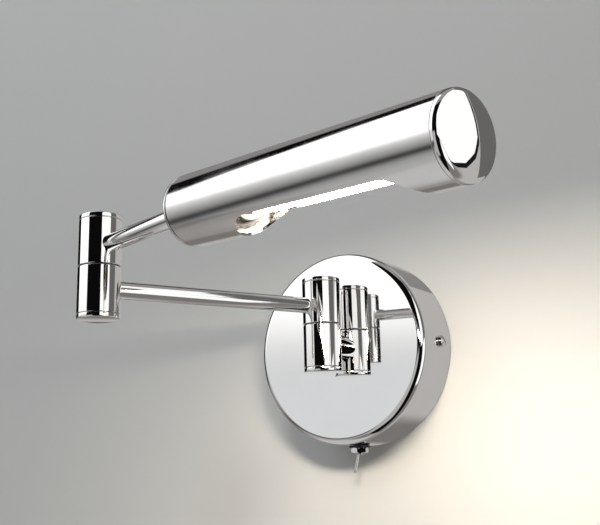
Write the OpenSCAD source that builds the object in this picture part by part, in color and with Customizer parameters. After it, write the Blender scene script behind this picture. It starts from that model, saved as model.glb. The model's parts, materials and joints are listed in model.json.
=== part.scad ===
// Swing arm wall light with a tubular lamp head.
//
// A steel bracket is fastened to the wall and carries a round polished canopy. A short hollow
// nipple joins the canopy to the base knuckle. Arm 1 swings on that knuckle, arm 2 swings on the
// elbow knuckle, and the lamp head rolls on a spigot at the end of arm 2. A lever switch hangs
// below the canopy.
//
// Frame: millimetres. The origin is the centre of the canopy on the wall plane. +Y goes into the
// wall, +X is to the right for somebody who faces the wall, and +Z is up.

/* [Canopy] */
// Outside diameter of the canopy
canopy_d = 100; // [88:1:130]
// Distance from the wall to the canopy's front face
canopy_depth = 30.5; // [28:0.5:42]
// Radius of the canopy's rounded front edge, outside
canopy_edge_r = 3.9; // [2:0.1:6]
// Thickness of the spun canopy sheet
canopy_sheet = 1.2; // [0.8:0.1:2]
// Height of the retaining screws and the switch above the wall
canopy_screw_out = 12; // [10:0.5:14]

/* [Wall bracket] */
// Height of the bracket strip
bracket_h = 22; // [18:1:28]
// Thickness of the bracket steel
bracket_t = 2; // [1.5:0.1:3]
// Distance between the two wall screw slots
wall_slot_spacing = 60; // [50:1:64]
// Width of each wall screw slot
wall_slot_w = 4.6; // [4:0.1:5.5]
// End-to-end length of each wall screw slot
wall_slot_len = 10; // [7:0.5:14]
// Bore of the rubber grommet that the supply cable comes through
cable_bore_d = 10; // [6:0.5:12]
// Wall of the grommet's neck
grommet_wall = 2; // [1.5:0.1:3]
// Gap between a bracket lug and the inside of the canopy
lug_gap = 2; // [1.5:0.1:4]

/* [Knuckles] */
// Outside diameter of both knuckles
knuckle_d = 19.5; // [18:0.5:26]
// Height of one half of a knuckle, end cap included
knuckle_half_h = 24; // [22:0.5:30]
// Bore of the wiring space inside a knuckle half
knuckle_bore_d = 14.4; // [13.8:0.1:15]
// Thickness of a knuckle end cap
knuckle_cap_t = 2.4; // [1.8:0.1:4]
// Height from an arm's centre line to the seam of the knuckle it enters
arm_to_seam = 9.8; // [9.6:0.1:11]
// Outside diameter of the hollow spindle in a knuckle
spindle_d = 9; // [7.4:0.1:9.4]
// Bore of the hollow spindle
spindle_bore_d = 6.4; // [5:0.1:7]
// Clear distance from the canopy's face to the knuckle's axis
knuckle_stand_off = 14.4; // [13:0.1:25]

/* [Arms] */
// Outside diameter of the arm tubes
arm_d = 8; // [7:0.1:9]
// Bore of the arm tubes
arm_bore_d = 5.5; // [4.5:0.1:6]
// Length of arm 1, knuckle axis to elbow axis
arm_1_len = 117; // [85:1:170]
// Length of arm 2, elbow axis to the back of the lamp head
arm_2_len = 73; // [60:1:110]

/* [Lamp head] */
// Outside diameter of the lamp head
head_d = 29.3; // [28:0.1:36]
// Wall of the lamp head tube
head_wall = 1; // [0.8:0.1:1.5]
// Length of the lamp head without the domed end
head_len = 134.8; // [130:0.1:170]
// Depth of the thin flange on the back cap
back_flange_t = 1.3; // [1:0.1:3]
// Width of the light slot in the underside
slot_w = 25; // [16:0.5:25.5]
// Distance from the back of the head to the start of the slot
slot_start = 32; // [31:0.5:45]
// Distance from the back of the head to the end of the slot
slot_end = 122.4; // [95:0.2:123]
// Diameter of the spigot that the head rolls on
spigot_d = 8; // [7:0.1:9]

/* [Lamp and holder] */
// Outside diameter of the lamp holder body
holder_d = 23; // [21:0.1:24.5]
// Diameter of the lamp holder's threaded front part
holder_thread_d = 19; // [17.5:0.1:20]
// Diameter of the lamp's screw shell
lamp_shell_d = 13.8; // [13.4:0.1:13.9]
// Diameter of the tubular lamp glass
lamp_glass_d = 16; // [14:0.1:19]
// Distance from the back of the head to the tip of the lamp glass
lamp_tip = 112; // [90:1:116]

/* [Switch] */
// Diameter of the switch's threaded bushing
switch_thread_d = 6; // [5.8:0.1:6.5]
// Distance across the flats of the switch nuts
switch_nut_af = 8; // [7.5:0.1:10]
// Length of the switch lever from its pivot to its tip
switch_lever_len = 13.4; // [11:0.1:16]
// Lean of the switch lever to each side of the middle
switch_lean = 15; // [12:0.5:16]

/* [Pose at rest] */
// Angle of arm 1 from straight out, negative to the left
arm_1_turn = -25.8; // [-90:0.1:90]
// Angle of arm 2 and the head from straight out
arm_2_turn = 76.7; // [40:0.1:95]
// Droop of the lamp head below level
head_droop = 3.8; // [0:0.1:6]
// Roll of the slot from straight down towards the wall
head_roll = 15.6; // [-30:0.1:60]

/* [Hidden] */

$fn = 96;
// How far a cut runs past the face it opens
past = 1;
// Gap between two pieces that are screwed or pushed together
seat_gap = 0.05;
// Radial clearance of a piece that turns on a spindle
run_gap = 0.05;

canopy_r = canopy_d / 2;
canopy_bore_r = canopy_r - canopy_sheet;

knuckle_r = knuckle_d / 2;
knuckle_bore_r = knuckle_bore_d / 2;
spindle_r = spindle_d / 2;
spindle_flange_gap = 0.6;
spindle_flange_r = knuckle_bore_r - spindle_flange_gap;
spindle_tail = 0.5;
spindle_flange_t = 1.2;
spring_washer_t = 1;
thrust_washer_t = 0.5;
thrust_washer_inset = 0.6;
knuckle_web_t = 5;
knuckle_nut_t = 3;
knuckle_nut_af = 12;
knuckle_groove = 0.3;
knuckle_groove_h = 0.4;
cap_plug_h = 3;
cap_plug_wall = 1.5;
// The mating faces of the two halves, measured down and up from the seam's middle
lower_face = thrust_washer_t / 2;
upper_face = thrust_washer_t / 2 + run_gap;
// An arm tube stops inside the knuckle's wall, this far from the knuckle's axis
arm_inset = 0.15;
arm_seat = knuckle_bore_r + arm_inset;

arm_r = arm_d / 2;
arm_1_z = 2 * arm_to_seam;
arm_2_z = 4 * arm_to_seam;
base_seam_z = arm_to_seam;
elbow_seam_z = 3 * arm_to_seam;
knuckle_y = -(canopy_depth + knuckle_stand_off);
elbow_x = arm_1_len * sin(arm_1_turn);
elbow_y = knuckle_y - arm_1_len * cos(arm_1_turn);

stem_r = 5;
stem_bore_r = 3.2;
stem_inner_len = 9;
stem_inner_end = canopy_depth - stem_inner_len;
stem_nut_af = 14;
stem_nut_t = 3;
stem_washer_t = 0.8;
stem_spacer_r = 6.5;

head_r = head_d / 2;
head_bore_r = head_r - head_wall;
head_groove = 0.8;
back_groove_w = 0.7;
back_plate_t = 3;
back_hub_r = 7.5;
back_hub_end = 9;
back_rim_wall = 2;
back_rim_end = 8;
tube_start = back_flange_t + back_groove_w;
front_band = 0.3;
front_edge_r = 2.4;
front_dome_r = 60;
front_plug_len = 7.5;
front_plug_wall = 1.4;
spigot_r = spigot_d / 2;
spigot_bore_r = 2.4;
spigot_collar_r = 5.5;
spigot_collar_back = 1.2;
spigot_collar_front = 0.6;
spigot_recess_gap = 0.35;
spigot_nut_af = 13;
spigot_nut_t = 3;
spigot_tail = 0.8;
spigot_end = back_hub_end + run_gap + spring_washer_t + spigot_nut_t + spigot_tail;
spigot_washer_r = 6.4;
spigot_plug_len = 12;
arm_2_end_gap = 1.5;

bulkhead_at = 28;
bulkhead_t = 1;
reflector_t = 0.5;
reflector_past_slot = 4;
reflector_end = slot_end + reflector_past_slot;
reflector_half_angle = 100;
holder_back = 15.5;
holder_front = 36;
holder_floor = 20;
holder_wire_r = 2;
ring_r = 11.8;
ring_t = 3;
contact_t = 1.2;
contact_w = 3;
contact_l = 8;
shell_back = 22.5;
shell_front = 38;
glass_neck_r = 6.2;
glass_wall = 0.7;
glass_shoulder = 10;
glass_neck_len = 6;
shell_wall = 0.5;
tip_contact_r = 2.4;
seal_t = 1.5;
wire_r = 0.35;
coil_r = 0.8;
coil_from_shell = 16;
coil_from_tip = 14;
lead_offset = 2;

wall_slot_r = wall_slot_w / 2;
cable_bore_r = cable_bore_d / 2;
grommet_r = cable_bore_r + grommet_wall;
grommet_flange_r = grommet_r + 2;
grommet_flange_t = 1.5;
lug_h = 12;
lug_past_screw = 6;
lug_out = canopy_screw_out + lug_past_screw;
screw_r = 2;
screw_clear = 0.2;
earth_x = -17;
earth_washer_r = 4.4;
earth_washer_t = 1.2;
earth_head_r = 3.5;
earth_head_h = 2.4;
block_w = 26;
block_h = 15;
block_t = 11;
block_z = 15;
block_pitch = 8;
block_plate_h = 22;
block_plate_w = 30;
barrel_r = 2.4;
barrel_bore_r = 1.5;
barrel_inset = 1;
barrel_out = bracket_t + 4.6;
clamp_screw_r = 1.3;
clamp_offset = 3.6;
clamp_hole_gap = 0.5;
clamp_head_grow = 0.35;
clamp_head_h = 1.4;
clamp_stand = 2.6;
clamp_shank = 2;
fixing_head_r = 2.3;
fixing_head_h = 1.3;
fixing_recess = 2.2;
fixing_gap = 0.1;
canopy_screw_shank = 8;
canopy_screw_head_r = 3.1;
canopy_screw_head_h = 2.6;
stem_washer_r = 8.5;

switch_r = switch_thread_d / 2;
switch_bore_wall = 0.55;
switch_bore_r = switch_r - switch_bore_wall;
switch_pivot_below = 1;
switch_pivot_z = -(canopy_r + switch_pivot_below);
switch_thread_below = 4.6;
switch_thread_bottom = -(canopy_r + switch_thread_below);
switch_inner_nut_t = 1.8;
switch_inner_nut_gap = 0.5;
switch_thread_top = -(canopy_bore_r - switch_inner_nut_t - switch_inner_nut_gap);
switch_plate_t = 1.5;
switch_body_w = 13;
switch_body_d = 8;
switch_body_h = 9;
switch_washer_t = 1.2;
switch_washer_r = 5.5;
switch_outer_nut_t = 2.6;
switch_lug_h = 4.5;
switch_lug_t = 0.8;
switch_lug_w = 2;
switch_lug_pitch = 4.7;
switch_lug_hole_r = 0.6;
switch_lug_hole_in = 1.2;
lever_root_r = 0.6;
lever_tip_r = 0.75;
lever_ball_r = 2.05;
lever_tail = 2.6;
lever_tail_gap = 1.6;

// ---------- places ----------

module out_from_wall() {
    rotate([90, 0, 0]) children();
}

module at_base(seam = base_seam_z) {
    translate([0, knuckle_y, seam]) children();
}

module at_elbow(seam = elbow_seam_z) {
    translate([elbow_x, elbow_y, seam]) children();
}

// A direction in plan, given as a turn from straight out of the wall
module facing(turn) {
    rotate([0, 0, turn - 90]) children();
}

// The lamp head's own frame: +X along the head from its back face, -Z towards the slot
module at_head() {
    at_elbow(arm_2_z)
        facing(arm_2_turn)
        translate([arm_2_len, 0, 0])
        rotate([head_roll, head_droop, 0])
        children();
}

module at_switch() {
    translate([0, -canopy_screw_out, 0]) children();
}

// ---------- shared shapes ----------

module hex(af, h) {
    cylinder(r = af / 2 / cos(30), h = h, $fn = 6);
}

module tube(outer_r, inner_r, h) {
    difference() {
        cylinder(r = outer_r, h = h);
        translate([0, 0, -past]) cylinder(r = inner_r, h = h + 2 * past);
    }
}

module hex_nut(af, bore_r, h) {
    difference() {
        hex(af, h);
        translate([0, 0, -past]) cylinder(r = bore_r, h = h + 2 * past);
    }
}

// A slotted cheese-head screw, head up, with its underside at z = 0
module slotted_screw(shank_r, shank_len, head_r, head_h) {
    slot_cut = head_r * 0.28;
    difference() {
        union() {
            translate([0, 0, -shank_len]) cylinder(r = shank_r, h = shank_len + head_h / 2);
            cylinder(r = head_r, h = head_h);
        }
        translate([-head_r - past, -slot_cut / 2, head_h * 0.55])
            cube([2 * (head_r + past), slot_cut, head_h]);
    }
}

module along_x() {
    rotate([0, 90, 0]) children();
}

// ---------- wall bracket and what it carries ----------

module wall_slots(depth) {
    for (side = [-1, 1])
        translate([side * wall_slot_spacing / 2, 0, -past])
            linear_extrude(depth + 2 * past)
            union() {
                for (end = [-1, 1])
                    translate([end * (wall_slot_len / 2 - wall_slot_r), 0]) circle(r = wall_slot_r);
                square([wall_slot_len - wall_slot_w, wall_slot_w], center = true);
            }
}

module wall_bracket() {
    lug_x = canopy_bore_r - lug_gap;
    color("gainsboro") difference() {
        out_from_wall() difference() {
            union() {
                translate([-lug_x, -bracket_h / 2, 0]) cube([2 * lug_x, bracket_h, bracket_t]);
                translate([-block_plate_w / 2, 0, 0])
                    cube([block_plate_w, bracket_h / 2 + block_plate_h, bracket_t]);
                for (side = [-1, 1])
                    translate([side * (lug_x - bracket_t / 2) - bracket_t / 2, -lug_h / 2, 0])
                        cube([bracket_t, lug_h, lug_out]);
            }
            wall_slots(bracket_t);
            translate([0, 0, -past]) cylinder(r = grommet_r, h = bracket_t + 2 * past);
            translate([earth_x, 0, -past]) cylinder(r = screw_r, h = bracket_t + 2 * past);
            translate([block_pitch / 2, block_z + block_h / 2, -past])
                cylinder(r = clamp_screw_r, h = bracket_t + 2 * past);
        }
        translate([-canopy_r, -canopy_screw_out, 0]) along_x() cylinder(r = screw_r, h = canopy_d);
    }
}

module cable_grommet() {
    color("dimgray") out_from_wall() {
        tube(grommet_r, cable_bore_r, bracket_t + grommet_flange_t / 2);
        translate([0, 0, bracket_t]) tube(grommet_flange_r, cable_bore_r, grommet_flange_t);
    }
}

module earth_washer() {
    color("silver") out_from_wall()
        translate([earth_x, 0, bracket_t])
        tube(earth_washer_r, screw_r + seat_gap, earth_washer_t);
}

module earth_screw() {
    color("goldenrod") out_from_wall()
        translate([earth_x, 0, bracket_t + earth_washer_t])
        slotted_screw(screw_r, earth_washer_t + bracket_t, earth_head_r, earth_head_h);
}

// Carries its children to each pole of the terminal block
module each_pole() {
    for (pole = [-1, 0, 1])
        translate([pole * block_pitch, 0, 0]) children();
}

// Carries its children to the two clamp screws of each pole
module each_clamp() {
    for (end = [-1, 1])
        translate([0, block_z + block_h / 2 + end * clamp_offset, 0]) each_pole() children();
}

module terminal_block() {
    color("ivory") out_from_wall() difference() {
        translate([-block_w / 2, block_z, bracket_t]) cube([block_w, block_h, block_t]);
        each_pole()
            translate([0, block_z - past, barrel_out])
            rotate([-90, 0, 0]) cylinder(r = barrel_r, h = block_h + 2 * past);
        each_clamp() translate([0, 0, barrel_out])
            cylinder(r = clamp_screw_r + clamp_hole_gap, h = block_t);
        translate([block_pitch / 2, block_z + block_h / 2, 0])
            cylinder(r = clamp_screw_r + fixing_gap, h = bracket_t + block_t + past);
        translate([block_pitch / 2, block_z + block_h / 2, bracket_t + block_t - fixing_recess])
            cylinder(r = fixing_head_r + fixing_gap, h = block_t);
    }
}

module terminal_barrels() {
    color("goldenrod") out_from_wall() difference() {
        each_pole()
            translate([0, block_z + barrel_inset, barrel_out])
            rotate([-90, 0, 0]) tube(barrel_r - seat_gap, barrel_bore_r, block_h - 2 * barrel_inset);
        each_clamp() translate([0, 0, barrel_out]) cylinder(r = clamp_screw_r, h = block_t);
    }
}

module terminal_screws() {
    color("silver") out_from_wall()
        each_clamp() translate([0, 0, barrel_out + barrel_bore_r + clamp_stand])
        slotted_screw(clamp_screw_r - seat_gap, clamp_shank, clamp_screw_r + clamp_head_grow,
                      clamp_head_h);
}

module terminal_fixing_screw() {
    color("silver") out_from_wall()
        translate([block_pitch / 2, block_z + block_h / 2, bracket_t + block_t - fixing_recess])
        slotted_screw(clamp_screw_r - seat_gap, block_t - fixing_recess + bracket_t, fixing_head_r,
                      fixing_head_h);
}

// ---------- canopy ----------

// Half the canopy's section, solid, as radius against distance from the wall
module canopy_half(r, depth, edge_r) {
    union() {
        square([r, depth - edge_r]);
        square([r - edge_r, depth]);
        translate([r - edge_r, depth - edge_r])
            intersection() {
                circle(r = edge_r);
                square([edge_r, edge_r]);
            }
    }
}

module canopy_shell() {
    color("whitesmoke") difference() {
        out_from_wall() rotate_extrude($fn = 180) difference() {
            canopy_half(canopy_r, canopy_depth, canopy_edge_r);
            translate([0, -past])
                canopy_half(canopy_bore_r, canopy_depth - canopy_sheet + past,
                            canopy_edge_r - canopy_sheet);
        }
        out_from_wall() cylinder(r = stem_r + screw_clear / 2, h = canopy_depth + past);
        translate([-canopy_r - past, -canopy_screw_out, 0])
            along_x() cylinder(r = screw_r + screw_clear, h = canopy_d + 2 * past);
        at_switch() translate([0, 0, -canopy_r - past])
            cylinder(r = switch_r + screw_clear / 2, h = canopy_r);
    }
}

module canopy_screws() {
    color("silver")
        for (side = [-1, 1])
            translate([side * canopy_r, -canopy_screw_out, 0])
            rotate([0, side * 90, 0])
            slotted_screw(screw_r - seat_gap, canopy_screw_shank, canopy_screw_head_r,
                          canopy_screw_head_h);
}

// ---------- stem ----------

module stem_nipple() {
    color("goldenrod") translate([0, -stem_inner_end, 0])
        out_from_wall() tube(stem_r, stem_bore_r, -knuckle_y - arm_seat - stem_inner_end);
}

module stem_lock_washer() {
    color("silver") translate([0, -(canopy_depth - canopy_sheet - stem_washer_t), 0])
        out_from_wall() tube(stem_washer_r, stem_r + seat_gap, stem_washer_t);
}

module stem_nut() {
    color("silver")
        translate([0, -(canopy_depth - canopy_sheet - stem_washer_t - stem_nut_t), 0])
        out_from_wall() hex_nut(stem_nut_af, stem_r, stem_nut_t);
}

// The spacer's far end is hollowed to the knuckle's round side
module stem_spacer() {
    color("whitesmoke") difference() {
        translate([0, -canopy_depth, 0])
            out_from_wall() tube(stem_spacer_r, stem_r + seat_gap, knuckle_stand_off - knuckle_r / 2);
        at_base(0) translate([0, 0, -canopy_r]) cylinder(r = knuckle_r, h = canopy_d);
    }
}

// ---------- knuckles ----------

// One half of a knuckle, drawn upwards from its mating face
module knuckle_half(face, web_bore_r, port_r, port_turn) {
    body_h = knuckle_half_h - knuckle_cap_t - face;
    difference() {
        cylinder(r = knuckle_r, h = body_h);
        translate([0, 0, -past]) cylinder(r = web_bore_r, h = knuckle_web_t + 2 * past);
        translate([0, 0, knuckle_web_t]) cylinder(r = knuckle_bore_r, h = body_h);
        facing(port_turn)
            translate([0, 0, arm_to_seam - face])
            along_x() cylinder(r = port_r, h = knuckle_d);
    }
}

// A push-in end cap, drawn upwards from where it meets the knuckle
module knuckle_cap() {
    color("whitesmoke") {
        translate([0, 0, knuckle_groove_h])
            cylinder(r = knuckle_r, h = knuckle_cap_t - knuckle_groove_h);
        cylinder(r = knuckle_r - knuckle_groove, h = knuckle_cap_t / 2);
        translate([0, 0, -cap_plug_h])
            tube(knuckle_bore_r, knuckle_bore_r - cap_plug_wall, cap_plug_h + knuckle_groove_h);
    }
}

module lower_half(port_r, port_turn) {
    color("whitesmoke") translate([0, 0, -lower_face])
        mirror([0, 0, 1]) knuckle_half(lower_face, spindle_r, port_r, port_turn);
}

module upper_half(port_turn) {
    color("whitesmoke") translate([0, 0, upper_face])
        knuckle_half(upper_face, spindle_r + run_gap, arm_r, port_turn);
}

module bottom_cap() {
    translate([0, 0, -(knuckle_half_h - knuckle_cap_t)]) mirror([0, 0, 1]) knuckle_cap();
}

module top_cap() {
    translate([0, 0, knuckle_half_h - knuckle_cap_t]) knuckle_cap();
}

// The spindle is held in the lower half by its nut. The upper half turns between the thrust
// washer and the spring washer below the spindle's flange.
module spindle() {
    flange_z = upper_face + knuckle_web_t + run_gap + spring_washer_t;
    bottom = -(lower_face + knuckle_web_t + knuckle_nut_t + spindle_tail);
    color("silver") difference() {
        union() {
            translate([0, 0, bottom])
                cylinder(r = spindle_r, h = flange_z - bottom + spindle_flange_t / 2);
            translate([0, 0, flange_z]) cylinder(r = spindle_flange_r, h = spindle_flange_t);
        }
        translate([0, 0, bottom - past])
            cylinder(r = spindle_bore_d / 2, h = flange_z + spindle_flange_t - bottom + 2 * past);
    }
}

module spindle_nut() {
    color("silver") translate([0, 0, -(lower_face + knuckle_web_t + knuckle_nut_t)])
        hex_nut(knuckle_nut_af, spindle_r, knuckle_nut_t);
}

module spring_washer() {
    color("slategray") translate([0, 0, upper_face + knuckle_web_t + run_gap])
        tube(spindle_flange_r, spindle_r + seat_gap, spring_washer_t);
}

module thrust_washer() {
    color("black") translate([0, 0, -lower_face])
        tube(knuckle_r - thrust_washer_inset, spindle_r + seat_gap, thrust_washer_t);
}

module base_knuckle_lower() { at_base() lower_half(stem_r, 180); }
module base_knuckle_bottom_cap() { at_base() bottom_cap(); }
module base_spindle() { at_base() spindle(); }
module base_spindle_nut() { at_base() spindle_nut(); }
module base_spring_washer() { at_base() spring_washer(); }
module base_thrust_washer() { at_base() thrust_washer(); }
module base_knuckle_upper() { at_base() upper_half(arm_1_turn); }
module base_knuckle_top_cap() { at_base() top_cap(); }

module elbow_lower() { at_elbow() lower_half(arm_r, arm_1_turn + 180); }
module elbow_bottom_cap() { at_elbow() bottom_cap(); }
module elbow_spindle() { at_elbow() spindle(); }
module elbow_spindle_nut() { at_elbow() spindle_nut(); }
module elbow_spring_washer() { at_elbow() spring_washer(); }
module elbow_thrust_washer() { at_elbow() thrust_washer(); }
module elbow_upper() { at_elbow() upper_half(arm_2_turn); }
module elbow_top_cap() { at_elbow() top_cap(); }

// ---------- arms ----------

module arm_1_tube() {
    color("gainsboro") at_base(arm_1_z) facing(arm_1_turn)
        translate([arm_seat, 0, 0])
        along_x() tube(arm_r, arm_bore_d / 2, arm_1_len - 2 * arm_seat);
}

module arm_2_tube() {
    color("gainsboro") at_elbow(arm_2_z) facing(arm_2_turn)
        translate([arm_seat, 0, 0])
        along_x() tube(arm_r, arm_bore_d / 2, arm_2_len - arm_2_end_gap - arm_seat);
}

// The spigot's plug is pushed into arm 2. Its collar and shank follow the head's own axis.
module head_spigot() {
    color("goldenrod") difference() {
        union() {
            at_head() translate([-spigot_collar_back, 0, 0]) along_x()
                cylinder(r = spigot_collar_r, h = spigot_collar_back + spigot_collar_front);
            at_head() along_x() cylinder(r = spigot_r, h = spigot_end);
            at_elbow(arm_2_z) facing(arm_2_turn)
                translate([arm_2_len - arm_2_end_gap - spigot_plug_len, 0, 0])
                along_x() cylinder(r = arm_bore_d / 2, h = spigot_plug_len + arm_2_end_gap);
        }
        at_head() translate([-spigot_collar_back, 0, 0])
            along_x() cylinder(r = spigot_bore_r, h = spigot_end + spigot_collar_back + past);
        at_elbow(arm_2_z) facing(arm_2_turn)
            translate([arm_2_len - arm_2_end_gap - spigot_plug_len - past, 0, 0])
            along_x() cylinder(r = spigot_bore_r, h = spigot_plug_len + arm_2_end_gap + past);
    }
}

module spigot_spring_washer() {
    color("slategray") at_head() translate([back_hub_end + run_gap, 0, 0])
        along_x() tube(spigot_washer_r, spigot_r + seat_gap, spring_washer_t);
}

module spigot_nut() {
    color("silver") at_head() translate([back_hub_end + run_gap + spring_washer_t, 0, 0])
        along_x() hex_nut(spigot_nut_af, spigot_r, spigot_nut_t);
}

// ---------- lamp head ----------

module head_back_cap() {
    color("whitesmoke") at_head() along_x() difference() {
        union() {
            cylinder(r = head_r, h = back_flange_t);
            cylinder(r = head_r - head_groove, h = tube_start);
            cylinder(r = head_bore_r, h = back_plate_t);
            tube(head_bore_r, head_bore_r - back_rim_wall, back_rim_end);
            cylinder(r = back_hub_r, h = back_hub_end);
        }
        translate([0, 0, -past]) cylinder(r = spigot_r + run_gap, h = back_hub_end + 2 * past);
        translate([0, 0, -past])
            cylinder(r = spigot_collar_r + spigot_recess_gap,
                     h = past + spigot_collar_front + run_gap);
    }
}

// The cut that opens the underside, with round ends, seen from below
module light_slot() {
    end_r = slot_w / 2;
    translate([0, 0, -head_r - past]) linear_extrude(head_r + past) union() {
        translate([slot_start + end_r, 0]) circle(r = end_r);
        translate([slot_end - end_r, 0]) circle(r = end_r);
        translate([slot_start + end_r, -end_r]) square([slot_end - slot_start - slot_w, slot_w]);
    }
}

module head_tube() {
    color("whitesmoke") at_head() difference() {
        translate([tube_start, 0, 0])
            along_x() tube(head_r, head_bore_r, head_len - tube_start);
        light_slot();
    }
}

// The front cap's section past the tube's end: a short band whose rounded edge runs into a low dome
module front_cap_half() {
    flat_r = head_r - front_edge_r;
    centres_apart = front_dome_r - front_edge_r;
    lean = asin(flat_r / centres_apart);
    join_r = flat_r + front_edge_r * sin(lean);
    union() {
        square([head_r, front_band]);
        intersection() {
            translate([flat_r, front_band]) circle(r = front_edge_r);
            translate([join_r, 0]) square([head_r - join_r, front_band + front_edge_r]);
        }
        intersection() {
            translate([0, front_band - centres_apart * cos(lean)]) circle(r = front_dome_r, $fn = 360);
            square([join_r, front_dome_r]);
        }
    }
}

module head_front_cap() {
    color("whitesmoke") at_head() translate([head_len, 0, 0]) along_x() {
        rotate_extrude($fn = 128) front_cap_half();
        translate([0, 0, -front_plug_len])
            tube(head_bore_r, head_bore_r - front_plug_wall, front_plug_len + front_band / 2);
    }
}

// A white trough above the lamp, with a bulkhead that carries the lamp holder
module reflector() {
    outer_r = head_bore_r - seat_gap;
    length = reflector_end - bulkhead_at;
    reach = 2 * head_r;
    edge_down = -reach * cos(reflector_half_angle);
    edge_side = reach * sin(reflector_half_angle);
    color("white") at_head() translate([bulkhead_at, 0, 0]) along_x() difference() {
        cylinder(r = outer_r, h = length);
        translate([0, 0, bulkhead_t]) cylinder(r = outer_r - reflector_t, h = length);
        translate([0, 0, -past])
            cylinder(r = holder_thread_d / 2 + seat_gap, h = bulkhead_t + 2 * past);
        translate([0, 0, bulkhead_t]) linear_extrude(length)
            polygon([[0, 0], [edge_down, edge_side], [reach, edge_side],
                     [reach, -edge_side], [edge_down, -edge_side]]);
    }
}

module lamp_holder() {
    color("black") at_head() translate([holder_back, 0, 0]) along_x() difference() {
        union() {
            cylinder(r = holder_d / 2, h = bulkhead_at - holder_back);
            cylinder(r = holder_thread_d / 2, h = holder_front - holder_back);
        }
        translate([0, 0, holder_floor - holder_back])
            cylinder(r = lamp_shell_d / 2 + seat_gap, h = holder_front);
        translate([0, 0, -past]) cylinder(r = holder_wire_r, h = holder_floor);
    }
}

module lamp_holder_ring() {
    color("black") at_head() translate([bulkhead_at + bulkhead_t, 0, 0])
        along_x() tube(ring_r, holder_thread_d / 2 + seat_gap, ring_t);
}

module lamp_holder_contact() {
    color("goldenrod") at_head()
        translate([holder_floor, -contact_w / 2, -contact_l / 2])
        cube([contact_t, contact_w, contact_l]);
}

module lamp_shell() {
    color("silver") at_head() translate([shell_back, 0, 0])
        along_x() tube(lamp_shell_d / 2, lamp_shell_d / 2 - shell_wall, shell_front - shell_back);
}

module lamp_tip_contact() {
    tip_back = holder_floor + contact_t;
    color("dimgray") at_head() along_x() {
        translate([0, 0, tip_back]) cylinder(r = tip_contact_r, h = shell_back - tip_back + seal_t / 2);
        translate([0, 0, shell_back]) cylinder(r = lamp_shell_d / 2 - shell_wall, h = seal_t);
    }
}

// Outside of the lamp glass, as radius against distance along the head
module glass_half(grow) {
    r = lamp_glass_d / 2 - grow;
    straight = lamp_tip - grow - r;
    union() {
        translate([0, shell_front - glass_neck_len])
            square([glass_neck_r - grow, glass_neck_len + glass_shoulder / 4]);
        polygon([[0, shell_front], [glass_neck_r - grow, shell_front],
                 [r, shell_front + glass_shoulder], [r, straight], [0, straight]]);
        translate([0, straight]) intersection() {
            circle(r = r);
            square([r, r]);
        }
    }
}

module lamp_glass() {
    color("lightyellow") at_head() along_x() rotate_extrude($fn = 96) difference() {
        glass_half(0);
        translate([0, -0.01]) glass_half(glass_wall);
    }
}

module lamp_filament() {
    start = shell_back + seal_t;
    coil_start = shell_front + coil_from_shell;
    coil_end = lamp_tip - coil_from_tip;
    color("gray") at_head() {
        for (side = [-1, 1])
            translate([start, 0, side * lead_offset]) along_x() cylinder(r = wire_r, h = coil_start - start);
        translate([coil_start, 0, -lead_offset - wire_r])
            along_x() cylinder(r = coil_r, h = coil_end - coil_start);
        translate([coil_start, 0, lead_offset])
            along_x() cylinder(r = wire_r, h = coil_end - coil_start);
        translate([coil_end - wire_r, 0, -lead_offset - wire_r])
            cylinder(r = wire_r, h = 2 * (lead_offset + wire_r));
    }
}

// ---------- switch ----------

module switch_bushing() {
    color("silver") at_switch() difference() {
        union() {
            translate([0, 0, switch_thread_bottom])
                cylinder(r = switch_r, h = switch_thread_top - switch_thread_bottom);
            translate([-switch_body_w / 2, -switch_body_d / 2, switch_thread_top])
                cube([switch_body_w, switch_body_d, switch_plate_t]);
        }
        translate([0, 0, switch_thread_bottom - past])
            cylinder(r = switch_bore_r,
                     h = switch_pivot_z - switch_thread_bottom + lever_tail + lever_tail_gap);
    }
}

module switch_body() {
    color("firebrick") at_switch()
        translate([-switch_body_w / 2, -switch_body_d / 2, switch_thread_top + switch_plate_t])
        cube([switch_body_w, switch_body_d, switch_body_h]);
}

module switch_terminals() {
    color("silver") at_switch()
        for (side = [-1, 0, 1])
            translate([side * switch_lug_pitch - switch_lug_t / 2, -switch_lug_w / 2,
                       switch_thread_top + switch_plate_t + switch_body_h])
            difference() {
                cube([switch_lug_t, switch_lug_w, switch_lug_h]);
                translate([-past, switch_lug_w / 2, switch_lug_h - switch_lug_hole_in])
                    along_x()
                    cylinder(r = switch_lug_hole_r, h = 2 * past + switch_lug_t, $fn = 24);
            }
}

module switch_inner_nut() {
    color("silver") at_switch() translate([0, 0, switch_thread_top - switch_inner_nut_t])
        hex_nut(switch_nut_af, switch_r, switch_inner_nut_t);
}

module switch_washer() {
    color("black") at_switch() translate([0, 0, -canopy_r - seat_gap - switch_washer_t])
        tube(switch_washer_r, switch_r + seat_gap, switch_washer_t);
}

module switch_outer_nut() {
    color("silver") at_switch()
        translate([0, 0, -canopy_r - seat_gap - switch_washer_t - switch_outer_nut_t])
        hex_nut(switch_nut_af, switch_r, switch_outer_nut_t);
}

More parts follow.
